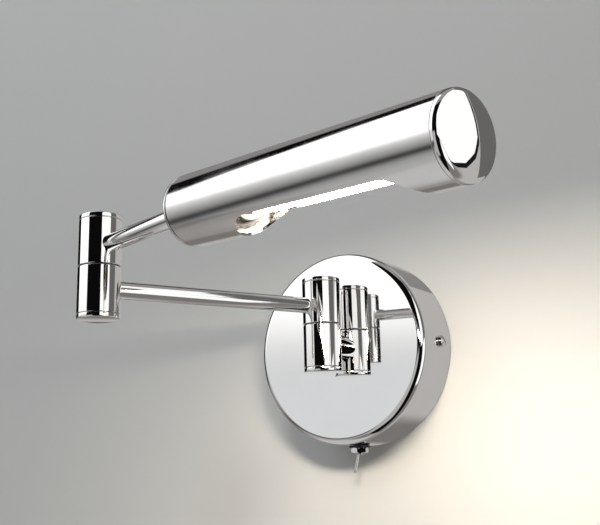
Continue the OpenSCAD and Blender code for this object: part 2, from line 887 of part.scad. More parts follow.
// The lever widens from its ball to a rounded tip
module switch_lever() {
    tip = switch_lever_len - lever_tip_r;
    color("whitesmoke") at_switch() translate([0, 0, switch_pivot_z])
        rotate([0, switch_lean, 0]) mirror([0, 0, 1])
        rotate_extrude($fn = 64) union() {
            intersection() {
                circle(r = lever_ball_r);
                translate([0, -lever_ball_r]) square([lever_ball_r, 2 * lever_ball_r]);
            }
            translate([0, -lever_tail]) square([lever_root_r, lever_tail]);
            polygon([[0, 0], [lever_root_r, 0], [lever_tip_r, tip], [0, tip]]);
            translate([0, tip]) intersection() {
                circle(r = lever_tip_r);
                square([lever_tip_r, lever_tip_r]);
            }
        }
}

wall_bracket();
cable_grommet();
earth_screw();
earth_washer();
terminal_block();
terminal_barrels();
terminal_screws();
terminal_fixing_screw();
canopy_shell();
canopy_screws();
stem_nipple();
stem_nut();
stem_lock_washer();
stem_spacer();
base_knuckle_lower();
base_knuckle_bottom_cap();
base_spindle();
base_spindle_nut();
base_spring_washer();
base_thrust_washer();
switch_body();
switch_terminals();
switch_bushing();
switch_inner_nut();
switch_washer();
switch_outer_nut();
switch_lever();
base_knuckle_upper();
base_knuckle_top_cap();
arm_1_tube();
elbow_lower();
elbow_bottom_cap();
elbow_spindle();
elbow_spindle_nut();
elbow_spring_washer();
elbow_thrust_washer();
elbow_upper();
elbow_top_cap();
arm_2_tube();
head_spigot();
spigot_spring_washer();
spigot_nut();
head_back_cap();
head_tube();
head_front_cap();
reflector();
lamp_holder();
lamp_holder_ring();
lamp_holder_contact();
lamp_shell();
lamp_tip_contact();
lamp_glass();
lamp_filament();
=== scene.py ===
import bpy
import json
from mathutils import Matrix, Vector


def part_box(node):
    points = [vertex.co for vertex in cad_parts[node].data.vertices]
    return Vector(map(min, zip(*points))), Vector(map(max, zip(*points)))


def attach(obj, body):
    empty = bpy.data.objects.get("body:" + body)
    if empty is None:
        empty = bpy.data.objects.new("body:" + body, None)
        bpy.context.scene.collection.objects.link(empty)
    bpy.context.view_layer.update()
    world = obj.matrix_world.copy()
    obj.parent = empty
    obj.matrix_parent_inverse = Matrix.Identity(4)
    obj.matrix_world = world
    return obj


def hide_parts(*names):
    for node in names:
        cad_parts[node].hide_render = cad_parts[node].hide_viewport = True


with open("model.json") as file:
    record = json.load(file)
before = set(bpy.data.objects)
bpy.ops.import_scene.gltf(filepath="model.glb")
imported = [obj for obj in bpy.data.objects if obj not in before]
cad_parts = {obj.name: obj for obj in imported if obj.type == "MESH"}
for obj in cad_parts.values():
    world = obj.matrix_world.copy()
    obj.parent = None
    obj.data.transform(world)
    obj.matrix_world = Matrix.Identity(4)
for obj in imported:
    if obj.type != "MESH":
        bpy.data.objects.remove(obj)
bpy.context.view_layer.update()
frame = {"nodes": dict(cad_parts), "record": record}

import json
import math

import bmesh
import bpy
from bpy.props import FloatProperty, FloatVectorProperty, IntProperty, PointerProperty
from mathutils import Matrix, Vector

bl_info = {
    "name": "Swing arm wall light",
    "version": (1, 0, 0),
    "blender": (4, 5, 0),
    "location": "3D View > Sidebar > Wall light",
    "description": "Makes the finished pieces of a swing arm wall light on its frame",
    "category": "Add Mesh",
}

MM = 0.001
TURN = 2 * math.pi
CUTTER_FACETS = 96
KNUCKLE_BORE = 7.2 * MM
KNUCKLE_WEB_BORE = 4.56 * MM
SEAM_TO_STEM = 9.55 * MM
SEAM_TO_ARM = 9.8 * MM
STEM_R = 5.0 * MM
ARM_R, ARM_BORE = 4.0 * MM, 2.75 * MM
ARM_SEAT = 7.35 * MM
ARM_1_LENGTH, ARM_2_END = 117 * MM, 71.5 * MM
HEAD_R = 14.65 * MM
HOLDER_THREAD_R = 9.5 * MM
LEVER_LEAN = math.radians(15)
WALL_FACE = 0.0002      # in metres, clear of the wall plane so that no faces coincide
LIT_LEVEL = 1.35        # brightest part of the left soft box
CLOTH = (0.003, 0.003, 0.003)
CAMERA_PLACE = (0.2550, -0.4339, -0.0657)
CAMERA_AXES = ((0.8205, 0.5712, -0.0231), (0.1487, -0.1742, 0.9734), (0.5520, -0.8021, -0.2279))
JOINTS = {joint["name"]: joint for joint in frame["record"]["behaviour"]["joints"]}


# ---------- sizes and colours ----------

def length(name, description, default):
    return FloatProperty(name=name, description=description, default=default,
                         min=0.0, unit="LENGTH", subtype="DISTANCE", precision=5)


def colour(name, description, default):
    return FloatVectorProperty(name=name, description=description, default=default,
                               subtype="COLOR", size=3, min=0.0, max=1.0)


class WallLightSizes(bpy.types.PropertyGroup):
    facets: IntProperty(name="Facets", description="Facets round each turned piece",
                        default=160, min=48, max=512)
    ease: length("Edge ease", "Radius that breaks each turned edge", 0.25 * MM)
    canopy_edge: length("Canopy edge", "Radius of the canopy's rounded front edge", 3.9 * MM)
    canopy_sheet: length("Canopy sheet", "Thickness of the canopy's sheet", 1.2 * MM)
    head_wall: length("Head wall", "Wall of the lamp head's tube", 1.0 * MM)
    slot_width: length("Slot width", "Width of the light slot", 25.0 * MM)
    slot_start: length("Slot start", "From the back of the head to the slot", 32.0 * MM)
    slot_end: length("Slot end", "From the back of the head to the slot's far end", 122.4 * MM)
    head_length: length("Head length", "Length of the head behind its domed end", 134.8 * MM)
    head_roll: FloatProperty(name="Head roll", description="Roll of the slot towards the wall",
                             default=math.radians(15.6), subtype="ANGLE")
    thread_pitch: length("Switch thread pitch", "Pitch of the switch's thread", 0.75 * MM)
    cap_pitch: length("Lamp thread pitch", "Pitch of the lamp's screw shell", 3.2 * MM)


class WallLightColours(bpy.types.PropertyGroup):
    chrome: colour("Chrome", "Tint of the polished chrome", (0.93, 0.925, 0.92))
    nickel: colour("Nickel", "Tint of the plated screws and nuts", (0.78, 0.76, 0.72))
    zinc: colour("Zinc", "Tint of the plated bracket", (0.62, 0.64, 0.66))
    brass: colour("Brass", "Tint of the brass pieces", (0.80, 0.60, 0.28))
    black: colour("Black plastic", "Colour of the holder and washers", (0.025, 0.025, 0.027))
    enamel: colour("White enamel", "Colour of the reflector", (0.90, 0.89, 0.86))
    lamp: colour("Lamp light", "Colour of the light from the lamp", (1.0, 0.88, 0.70))
    wall: colour("Wall", "Colour of the painted wall", (0.60, 0.60, 0.585))
    floor: colour("Floor", "Colour of the floor", (0.72, 0.70, 0.66))


def sizes():
    return bpy.context.scene.wall_light_sizes


def colours():
    return bpy.context.scene.wall_light_colours


# ---------- places ----------

def mm(*points):
    """Points given in millimetres."""
    return [tuple(number * MM for number in point) for point in points]


def upright(x, y, z):
    return Matrix.Translation((x, y, z))


def joint_place(name):
    return Vector(JOINTS[name]["pos_m"])


def head_place():
    """The head's own frame: +X along the head from its back face, -Z towards the slot."""
    along = Vector(JOINTS["head_roll"]["axis"]).normalized()
    side = Vector((0, 0, 1)).cross(along).normalized()
    turn = Matrix((along, side, along.cross(side))).transposed().to_4x4()
    return (Matrix.Translation(joint_place("head_roll")) @ turn
            @ Matrix.Rotation(sizes().head_roll, 4, "X"))


def head_axis_up():
    """The head's frame turned so that local +Z runs along the head and local +X to the slot."""
    return head_place() @ Matrix.Rotation(math.radians(90), 4, "Y")


def arm_place(start, direction):
    along = Vector(direction).normalized()
    return Matrix.Translation(start) @ along.to_track_quat("Z", "X").to_matrix().to_4x4()


# ---------- mesh making ----------

def eased(points, radius, closed=True, steps=4):
    """Rounds the corners of a section. A point may carry its own radius as a third value."""
    out = []
    count = len(points)
    for i, point in enumerate(points):
        here = Vector(point[:2])
        want = point[2] if len(point) > 2 else radius
        if (not closed and i in (0, count - 1)) or want <= 0:
            out.append(here)
            continue
        before = Vector(points[i - 1][:2])
        after = Vector(points[(i + 1) % count][:2])
        into, away = before - here, after - here
        if into.length < 1e-9 or away.length < 1e-9:
            continue
        angle = into.angle(away)
        if angle > math.radians(170) or angle < math.radians(5):
            out.append(here)
            continue
        reach = min(want / math.tan(angle / 2), into.length * 0.49, away.length * 0.49)
        real = reach * math.tan(angle / 2)
        centre = here + (into.normalized() + away.normalized()).normalized() * (
            real / math.sin(angle / 2))
        first = here + into.normalized() * reach - centre
        last = here + away.normalized() * reach - centre
        turn = first.angle_signed(last)
        parts = max(2, steps if real < 1 * MM else 4 * steps)
        for k in range(parts + 1):
            a = -turn * k / parts
            out.append(centre + Vector((first.x * math.cos(a) - first.y * math.sin(a),
                                        first.x * math.sin(a) + first.y * math.cos(a))))
    return out


def mark_edges(bm, edge_angle):
    """Shades every face smooth and keeps the edges that are sharper than edge_angle."""
    limit = math.radians(edge_angle)
    for face in bm.faces:
        face.smooth = True
    for edge in bm.edges:
        edge.smooth = len(edge.link_faces) == 2 and edge.calc_face_angle(0.0) < limit


def finish_mesh(name, bm, place, material, edge_angle=32.0):
    """Turns bm into an object at place."""
    bmesh.ops.remove_doubles(bm, verts=bm.verts, dist=1e-7)
    bmesh.ops.recalc_face_normals(bm, faces=bm.faces)
    mark_edges(bm, edge_angle)
    mesh = bpy.data.meshes.new(name)
    bm.to_mesh(mesh)
    bm.free()
    piece = bpy.data.objects.new(name, mesh)
    bpy.context.scene.collection.objects.link(piece)
    piece.matrix_world = place
    if material:
        mesh.materials.append(material)
    return piece


def ring(bm, radius, z, facets):
    """One round of points. The radius is a number or a function of the angle."""
    points = []
    for k in range(facets):
        a = TURN * k / facets
        r = radius(a) if callable(radius) else radius
        points.append(bm.verts.new((r * math.cos(a), r * math.sin(a), z)))
    return points


def skin(bm, rings, closed=True):
    """Joins each ring to the next. A ring of one point is a tip."""
    for low, high in list(zip(rings, rings[1:] + rings[:1]))[:None if closed else -1]:
        facets = max(len(low), len(high))
        for k in range(facets if facets > 1 else 0):
            j = (k + 1) % facets
            if len(low) == 1:
                bm.faces.new((low[0], high[j], high[k]))
            elif len(high) == 1:
                bm.faces.new((low[k], low[j], high[0]))
            else:
                bm.faces.new((low[k], low[j], high[j], high[k]))


def turned(name, section, place, material, facets=None, closed=True, edge_angle=32.0):
    """A piece turned about its local Z. The section is radius against height."""
    facets = facets or sizes().facets
    bm = bmesh.new()
    rings = [[bm.verts.new((0, 0, z))] if r < 1e-7 else ring(bm, r, z, facets)
             for r, z in section]
    skin(bm, rings, closed)
    return finish_mesh(name, bm, place, material, edge_angle)


def cutter(kind, place, **shape):
    """A round bar of r and h along local +Z, or a block of size."""
    bm = bmesh.new()
    if kind == "round":
        bmesh.ops.create_cone(bm, cap_ends=True, segments=CUTTER_FACETS,
                              radius1=shape["r"], radius2=shape["r"], depth=shape["h"],
                              matrix=Matrix.Translation((0, 0, shape["h"] / 2)))
    else:
        bmesh.ops.create_cube(bm, size=1.0, matrix=Matrix.Diagonal((*shape["size"], 1.0)))
    return finish_mesh("cutter", bm, place, None)


def cut(piece, tools, edge_angle=32.0):
    """Cuts tools out of a piece and applies the cuts."""
    for tool in tools:
        step = piece.modifiers.new("cut", "BOOLEAN")
        step.operation = "DIFFERENCE"
        step.solver = "EXACT"
        step.object = tool
    bpy.context.view_layer.update()
    shaped = piece.evaluated_get(bpy.context.evaluated_depsgraph_get())
    mesh = bpy.data.meshes.new_from_object(shaped)
    materials = list(piece.data.materials)
    if not mesh.polygons:
        raise RuntimeError(f"cutting {piece.name} left nothing")
    piece.modifiers.clear()
    old = piece.data
    piece.data = mesh
    bpy.data.meshes.remove(old)
    mesh.materials.clear()
    for material in materials:
        mesh.materials.append(material)
    for tool in tools:
        bpy.data.meshes.remove(tool.data)
    mesh.name = piece.name
    bm = bmesh.new()
    bm.from_mesh(mesh)
    mark_edges(bm, edge_angle)
    bm.to_mesh(mesh)
    bm.free()
    return piece


def true_round(piece, limit=0.97):
    """Sets the normals of faces that lie on a cylinder about local Z to the cylinder's own."""
    mesh = piece.data
    normals = [Vector(n.vector) for n in mesh.corner_normals]
    for face in mesh.polygons:
        centre = face.center
        out = Vector((centre.x, centre.y, 0))
        if out.length < 1e-6 or abs(face.normal.z) > 0.02:
            continue
        side = face.normal.dot(out.normalized())
        if abs(side) < limit:
            continue
        for corner in face.loop_indices:
            co = mesh.vertices[mesh.loops[corner].vertex_index].co
            n = Vector((co.x, co.y, 0))
            if n.length > 1e-6:
                normals[corner] = n.normalized() * (1 if side > 0 else -1)
    mesh.normals_split_custom_set(normals)
    return piece


def settled(piece):
    """Puts the piece's place into its mesh, and keeps its own coordinates for its finish."""
    mesh = piece.data
    own = mesh.attributes.new("own_place", "FLOAT_VECTOR", "POINT")
    own.data.foreach_set("vector", [number for v in mesh.vertices for number in v.co])
    mesh.transform(piece.matrix_world)
    piece.matrix_world = Matrix.Identity(4)
    return piece


def fitted(piece, body, slot, *nodes):
    """Settles a piece, and says what it rides on and what it replaces. The slot argument is not
    used.
    """
    settled(piece)
    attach(piece, body)
    if nodes:
        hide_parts(*nodes)
    return piece


# ---------- finishes ----------

class Tree:
    """Short ways to add linked nodes to a cleared node tree."""

    def __init__(self, owner):
        owner.use_nodes = True
        self.tree = owner.node_tree
        self.tree.nodes.clear()

    def add(self, kind, **values):
        """A node with its settings, such as operation."""
        node = self.tree.nodes.new(kind)
        for key, value in values.items():
            setattr(node, key, value)
        return node

    def link(self, a, b):
        self.tree.links.new(a, b)

    @staticmethod
    def settle(node, numbers):
        """Sets a node's inputs by name."""
        for key, number in numbers.items():
            node.inputs[key].default_value = number

    def give(self, value, socket):
        """Links a socket or sets a number or a colour."""
        if isinstance(value, (int, float)):
            socket.default_value = value
        elif isinstance(value, tuple):
            socket.default_value = (*value, 1.0)
        else:
            self.link(value, socket)

    def maths(self, what, a, b=0.0):
        node = self.add("ShaderNodeMath", operation=what)
        self.give(a, node.inputs[0])
        self.give(b, node.inputs[1])
        return node.outputs[0]

    def either(self, mask, first, second):
        """The first shader, or the second where mask is 1."""
        node = self.add("ShaderNodeMixShader")
        for value, socket in zip((mask, first, second), node.inputs):
            self.link(value, socket)
        return node.outputs[0]


class Nodes(Tree):
    """The nodes that a finish is made of."""

    def __init__(self, material):
        super().__init__(material)
        self.out = self.add("ShaderNodeOutputMaterial")
        self.shader = self.add("ShaderNodeBsdfPrincipled")
        self.link(self.shader.outputs[0], self.out.inputs[0])

    def place(self, scale=(1, 1, 1), own=False):
        """The piece's coordinates, stretched by scale. Its own run along it as it was made."""
        if own:
            source = self.add("ShaderNodeAttribute", attribute_name="own_place").outputs["Vector"]
        else:
            source = self.add("ShaderNodeTexCoord").outputs["Object"]
        mapping = self.add("ShaderNodeMapping")
        mapping.inputs["Scale"].default_value = scale
        self.link(source, mapping.inputs["Vector"])
        return mapping.outputs[0]

    def noise(self, place, scale, detail=3.0, rough=0.5, distortion=0.0):
        node = self.add("ShaderNodeTexNoise")
        self.settle(node, {"Scale": scale, "Detail": detail, "Roughness": rough,
                           "Distortion": distortion})
        self.link(place, node.inputs["Vector"])
        return node.outputs["Fac"]

    def spread(self, value, low, high, to_low, to_high):
        node = self.add("ShaderNodeMapRange", clamp=True)
        self.settle(node, {"From Min": low, "From Max": high, "To Min": to_low, "To Max": to_high})
        self.link(value, node.inputs["Value"])
        return node.outputs[0]

    def ramp(self, value, stops):
        node = self.add("ShaderNodeValToRGB")
        while len(node.color_ramp.elements) < len(stops):
            node.color_ramp.elements.new(0.5)
        for element, (at, rgb) in zip(node.color_ramp.elements, stops):
            element.position = at
            element.color = (*rgb, 1.0)
        self.link(value, node.inputs[0])
        return node.outputs[0]

    def bump(self, height, strength, distance):
        node = self.add("ShaderNodeBump")
        self.settle(node, {"Strength": strength, "Distance": distance})
        self.link(height, node.inputs["Height"])
        self.link(node.outputs[0], self.shader.inputs["Normal"])


def shade(rgb, k):
    return tuple(min(1.0, max(0.0, c * k)) for c in rgb)


def new_finish(name):
    material = bpy.data.materials.new(name)
    return material, Nodes(material)


def polished(name, rgb, grain=None, low=0.03, high=0.085, scratch=0.05, mottle=0.03):
    """Polished plating: a faint cloudiness, fine polishing lines and a few dull specks."""
    material, n = new_finish(name)
    cloud = n.noise(n.place(), 55.0, 4.0, 0.55)
    lines = n.noise(n.place(grain or (1, 1, 1), bool(grain)), 900.0, 3.0, 0.6)
    n.link(n.ramp(cloud, [(0.30, shade(rgb, 1.0 - mottle)), (0.72, shade(rgb, 1.0 + mottle / 2))]),
           n.shader.inputs["Base Color"])
    both = n.maths("ADD", n.maths("MULTIPLY", cloud, 0.55), n.maths("MULTIPLY", lines, 0.45))
    n.link(n.spread(both, 0.36, 0.66, low, high), n.shader.inputs["Roughness"])
    n.shader.inputs["Metallic"].default_value = 1.0
    n.bump(lines, scratch, 0.004 * MM)
    return material


def plated(name, rgb, low, high, grain_scale=700.0, strength=0.12):
    """Dull plating with a grain, and stains that make its tone vary at random."""
    material, n = new_finish(name)
    grain = n.noise(n.place(), grain_scale, 5.0, 0.6)
    stain = n.noise(n.place(), 45.0, 4.0, 0.6, 0.4)
    n.link(n.ramp(stain, [(0.25, shade(rgb, 0.80)), (0.55, rgb), (0.80, shade(rgb, 1.10))]),
           n.shader.inputs["Base Color"])
    n.link(n.spread(grain, 0.3, 0.7, low, high), n.shader.inputs["Roughness"])
    n.shader.inputs["Metallic"].default_value = 1.0
    n.bump(grain, strength, 0.03 * MM)
    return material


def moulded(name, rgb, low=0.34, high=0.52, grain_scale=1100.0, strength=0.15, coat=0.0):
    """Moulded plastic or rubber with a fine spark-etched grain."""
    material, n = new_finish(name)
    grain = n.noise(n.place(), grain_scale, 3.0, 0.55)
    tone = n.noise(n.place(), 70.0, 3.0, 0.5)
    n.link(n.ramp(tone, [(0.3, shade(rgb, 0.88)), (0.7, shade(rgb, 1.08))]),
           n.shader.inputs["Base Color"])
    n.link(n.spread(grain, 0.3, 0.7, low, high), n.shader.inputs["Roughness"])
    n.shader.inputs["Coat Weight"].default_value = coat
    n.bump(grain, strength, 0.05 * MM)
    return material


def enamelled(name, rgb):
    """Baked white enamel with a faint orange-peel surface."""
    material, n = new_finish(name)
    peel = n.noise(n.place(), 420.0, 2.0, 0.5)
    tone = n.noise(n.place(), 60.0, 3.0, 0.5)
    n.link(n.ramp(tone, [(0.3, shade(rgb, 0.95)), (0.7, rgb)]), n.shader.inputs["Base Color"])
    n.link(n.spread(peel, 0.3, 0.7, 0.22, 0.36), n.shader.inputs["Roughness"])
    n.shader.inputs["Coat Weight"].default_value = 0.3
    n.shader.inputs["Coat Roughness"].default_value = 0.12
    n.bump(peel, 0.25, 0.04 * MM)
    return material


def lit_glass(name, rgb):
    """White coated glass that glows, its glow varying a little at random."""
    material, n = new_finish(name)
    tone = n.noise(n.place(), 160.0, 3.0, 0.5)
    n.link(n.ramp(tone, [(0.3, (0.88, 0.87, 0.84)), (0.7, (0.96, 0.95, 0.93))]),
           n.shader.inputs["Base Color"])
    n.link(n.spread(tone, 0.3, 0.7, 0.22, 0.32), n.shader.inputs["Roughness"])
    n.link(n.ramp(tone, [(0.2, shade(rgb, 0.92)), (0.8, rgb)]),
           n.shader.inputs["Emission Color"])
    n.shader.inputs["Emission Strength"].default_value = 60.0
    n.shader.inputs["Subsurface Weight"].default_value = 0.1
    n.shader.inputs["Subsurface Scale"].default_value = 0.5 * MM
    return material


def make_finishes():
    c = colours()
    chrome, nickel, zinc = tuple(c.chrome), tuple(c.nickel), tuple(c.zinc)
    return {
        "chrome": polished("chrome polished", chrome, None, 0.012, 0.045, 0.03, 0.02),
        "chrome_tube": polished("chrome drawn tube", chrome, (1, 1, 0.02), 0.05, 0.14, 0.22, 0.06),
        "chrome_turned": polished("chrome turned", chrome, (0.25, 0.25, 6.0), 0.02, 0.06, 0.05,
                                  0.02),
        "nickel": plated("nickel plated", nickel, 0.16, 0.30, 900.0, 0.10),
        "zinc": plated("zinc plated", zinc, 0.28, 0.46, 420.0, 0.20),
        "steel": plated("spring steel", (0.46, 0.46, 0.47), 0.22, 0.40, 1300.0, 0.10),
        "brass": plated("brass machined", tuple(c.brass), 0.18, 0.34, 1200.0, 0.10),
        "black": moulded("black moulded and painted groove shade", tuple(c.black), 0.30, 0.46, 1200.0, 0.15, 0.1),
        "rubber": moulded("black rubber", (0.035, 0.035, 0.036), 0.55, 0.75, 900.0, 0.30),
        "block": moulded("ivory moulded", (0.74, 0.70, 0.60), 0.34, 0.48, 800.0, 0.12),
        "switch": moulded("red moulded", (0.42, 0.045, 0.03), 0.30, 0.44, 900.0, 0.12),
        "white": enamelled("white enamel", tuple(c.enamel)),
        "shell": plated("lamp shell metal", (0.80, 0.79, 0.76), 0.20, 0.36, 800.0, 0.10),
        "insulator": moulded("dark glass seal", (0.03, 0.028, 0.05), 0.10, 0.22, 400.0, 0.05, 0.4),
        "glass": lit_glass("lamp glass lit", tuple(c.lamp)),
        "tungsten": plated("tungsten wire", (0.30, 0.29, 0.28), 0.35, 0.55, 2500.0, 0.30),
    }


FINISHES = {}


def finish(name):
    if not FINISHES:
        FINISHES.update(make_finishes())
    return FINISHES[name]


def dress(node, name):
    piece = frame["nodes"][node]
    mesh = piece.data
    if not len(mesh.materials):
        mesh.materials.append(finish(name))
    for slot in piece.material_slots:
        slot.material = finish(name)


# ---------- operators ----------

class OBJECT_OT_wall_light_canopy(bpy.types.Operator):
    """Makes the spun canopy with its rounded front edge, and its two side screws"""
    bl_idname = "wall_light.canopy"
    bl_label = "Canopy"

    def execute(self, context):
        s = sizes()
        low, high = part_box("canopy_shell")
        r, depth = (high.x - low.x) / 2, -low.y
        bore, inside = r - s.canopy_sheet, depth - s.canopy_sheet
        stem_low, stem_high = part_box("stem_nipple")
        stem_r = (stem_high.x - stem_low.x) / 2
        hem = 0.35 * MM
        section = eased([(stem_r, depth, 0), (r, depth, s.canopy_edge), (r, 0, hem),
                         (bore, 0, hem), (bore, inside, s.canopy_edge - s.canopy_sheet),
                         (stem_r, inside, 0)], 0, steps=6)
        out = Matrix.Rotation(math.radians(90), 4, "X")
        canopy = turned("canopy", section, out, finish("chrome"), facets=2 * s.facets)
        screw_low, screw_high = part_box("canopy_screws")
        screw_y = (screw_low.y + screw_high.y) / 2
        across = Matrix.Rotation(math.radians(90), 4, "Y")
        down = Matrix.Rotation(math.radians(180), 4, "X")
        cut(canopy, [
            cutter("round", Matrix.Translation((-r - MM, screw_y, 0)) @ across,
                   r=2.2 * MM, h=2 * r + 2 * MM),
            cutter("round", Matrix.Translation((0, screw_y, -r / 2)) @ down, r=3.1 * MM, h=r),
        ])
        true_round(canopy)
        fitted(canopy, "base", "chrome", "canopy_shell")

        screw_r = (screw_high.z - screw_low.z) / 2
        head_h = screw_high.x - r
        for side, turn in ((1, 35.0), (-1, -20.0)):
            name = "canopy_screw_right" if side > 0 else "canopy_screw_left"
            place = (Matrix.Translation((side * r, screw_y, 0))
                     @ Matrix.Rotation(math.radians(side * 90), 4, "Y")
                     @ Matrix.Rotation(math.radians(turn), 4, "Z"))
            section = eased([*mm((0, -8), (1.5, -8), (1.98, -7.4), (1.98, 0, 0)),
                             (screw_r, 0, 0.2 * MM), (screw_r, 0.42 * head_h, 0.3 * MM),
                             (0.86 * screw_r, 0.72 * head_h, 0.6 * MM),
                             (0.5 * screw_r, 0.94 * head_h, 0.9 * MM), (0, head_h)],
                            0, closed=False, steps=4)
            screw = turned(name, section, place, finish("chrome_turned"), facets=96,
                           closed=False, edge_angle=40)
            cut(screw, [cutter("block", place @ Matrix.Translation((0, 0, head_h)),
                               size=(4 * screw_r, 0.9 * MM, 1.9 * MM))], 40)
            fitted(screw, "base", "chrome", "canopy_screws")
        return {"FINISHED"}


class OBJECT_OT_wall_light_knuckles(bpy.types.Operator):
    """Makes the two knuckles: four turned halves with cap grooves, and their end caps"""
    bl_idname = "wall_light.knuckles"
    bl_label = "Knuckles"

    def execute(self, context):
        s = sizes()
        halves = (("base_knuckle_lower", "base_knuckle_bottom_cap", "base", "base"),
                  ("base_knuckle_upper", "base_knuckle_top_cap", "arm_1", "base"),
                  ("elbow_lower", "elbow_bottom_cap", "arm_1", "elbow"),
                  ("elbow_upper", "elbow_top_cap", "arm_2", "elbow"))
        for half, cap, body, where in halves:
            low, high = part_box(half)
            cap_low, cap_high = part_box(cap)
            axis = joint_place("base_swing" if where == "base" else "elbow_swing")
            r = (high.x - low.x) / 2
            upward = cap_high.z > high.z
            face = low.z if upward else high.z
            rim = high.z if upward else low.z
            body_h = abs(rim - face)
            turn = Matrix.Identity(4) if upward else Matrix.Rotation(math.pi, 4, "X")
            place = upright(axis.x, axis.y, face) @ turn
            web, bore = KNUCKLE_WEB_BORE, KNUCKLE_BORE
            section = eased([(web, 0, 0), (r, 0, s.ease), (r, body_h, 0.12 * MM),
                             (bore, body_h, 0), (bore, 5 * MM, 0.3 * MM), (web, 5 * MM, 0)],
                            0, steps=3)
            piece = turned(f"{half}_body", section, place, finish("chrome_turned"))
            hole_r = STEM_R if half == "base_knuckle_lower" else ARM_R
            if half == "base_knuckle_lower":
                hole = arm_place((axis.x, axis.y, face - SEAM_TO_STEM), (0, 1, 0))
            elif half == "elbow_lower":
                end = self.arm_start(1) + self.arm_way(1) * ARM_1_LENGTH
                hole = arm_place(end, -self.arm_way(1))
            else:
                arm = 1 if where == "base" else 2
                hole = arm_place(self.arm_start(arm), self.arm_way(arm))
            cut(piece, [cutter("round", hole, r=hole_r, h=20 * MM)])
            true_round(piece)
            fitted(piece, body, "chrome", half)

            height = abs((cap_high.z if upward else cap_low.z) - rim)
            section = eased([(0, 0.2 * MM), (r - 0.3 * MM, 0.2 * MM, 0),
                             (r - 0.3 * MM, 0.4 * MM, 0), (r, 0.4 * MM, 0.12 * MM),
                             (r, height, 0.45 * MM), (0, height)], 0, closed=False, steps=5)
            top = turned(f"{cap}_disc", section,
                         upright(axis.x, axis.y, rim) @ turn, finish("chrome"), closed=False)
            plug = turned(f"{cap}_plug", [(5.7 * MM, -3 * MM), (bore, -3 * MM),
                                          (bore, 0.4 * MM), (5.7 * MM, 0.4 * MM)],
                          upright(axis.x, axis.y, rim) @ turn, finish("chrome_turned"))
            fitted(top, body, "chrome", cap)
            fitted(plug, body, "chrome")
        return {"FINISHED"}

    @staticmethod
    def arm_way(arm):
        if arm == 1:
            way = joint_place("elbow_swing") - joint_place("base_swing")
        else:
            way = joint_place("head_roll") - joint_place("elbow_swing")
        return Vector((way.x, way.y, 0)).normalized()

    @staticmethod
    def arm_start(arm):
        axis = joint_place("base_swing" if arm == 1 else "elbow_swing")
        return Vector((axis.x, axis.y, axis.z + SEAM_TO_ARM))


class OBJECT_OT_wall_light_arms(bpy.types.Operator):
    """Makes the two arm tubes"""
    bl_idname = "wall_light.arms"
    bl_label = "Arms"

    def execute(self, context):
        knuckles = OBJECT_OT_wall_light_knuckles
        for name, arm, end in (("arm_1_tube", 1, ARM_1_LENGTH - ARM_SEAT),
                               ("arm_2_tube", 2, ARM_2_END)):
            place = arm_place(knuckles.arm_start(arm), knuckles.arm_way(arm))
            section = eased([(ARM_BORE, ARM_SEAT, 0.2 * MM), (ARM_R, ARM_SEAT, 0.2 * MM),
                             (ARM_R, end, 0.25 * MM), (ARM_BORE, end, 0.2 * MM)], 0, steps=3)
            tube = turned(f"{name}_drawn", section, place, finish("chrome_tube"), facets=128)
            fitted(tube, f"arm_{arm}", "chrome", name)
        return {"FINISHED"}


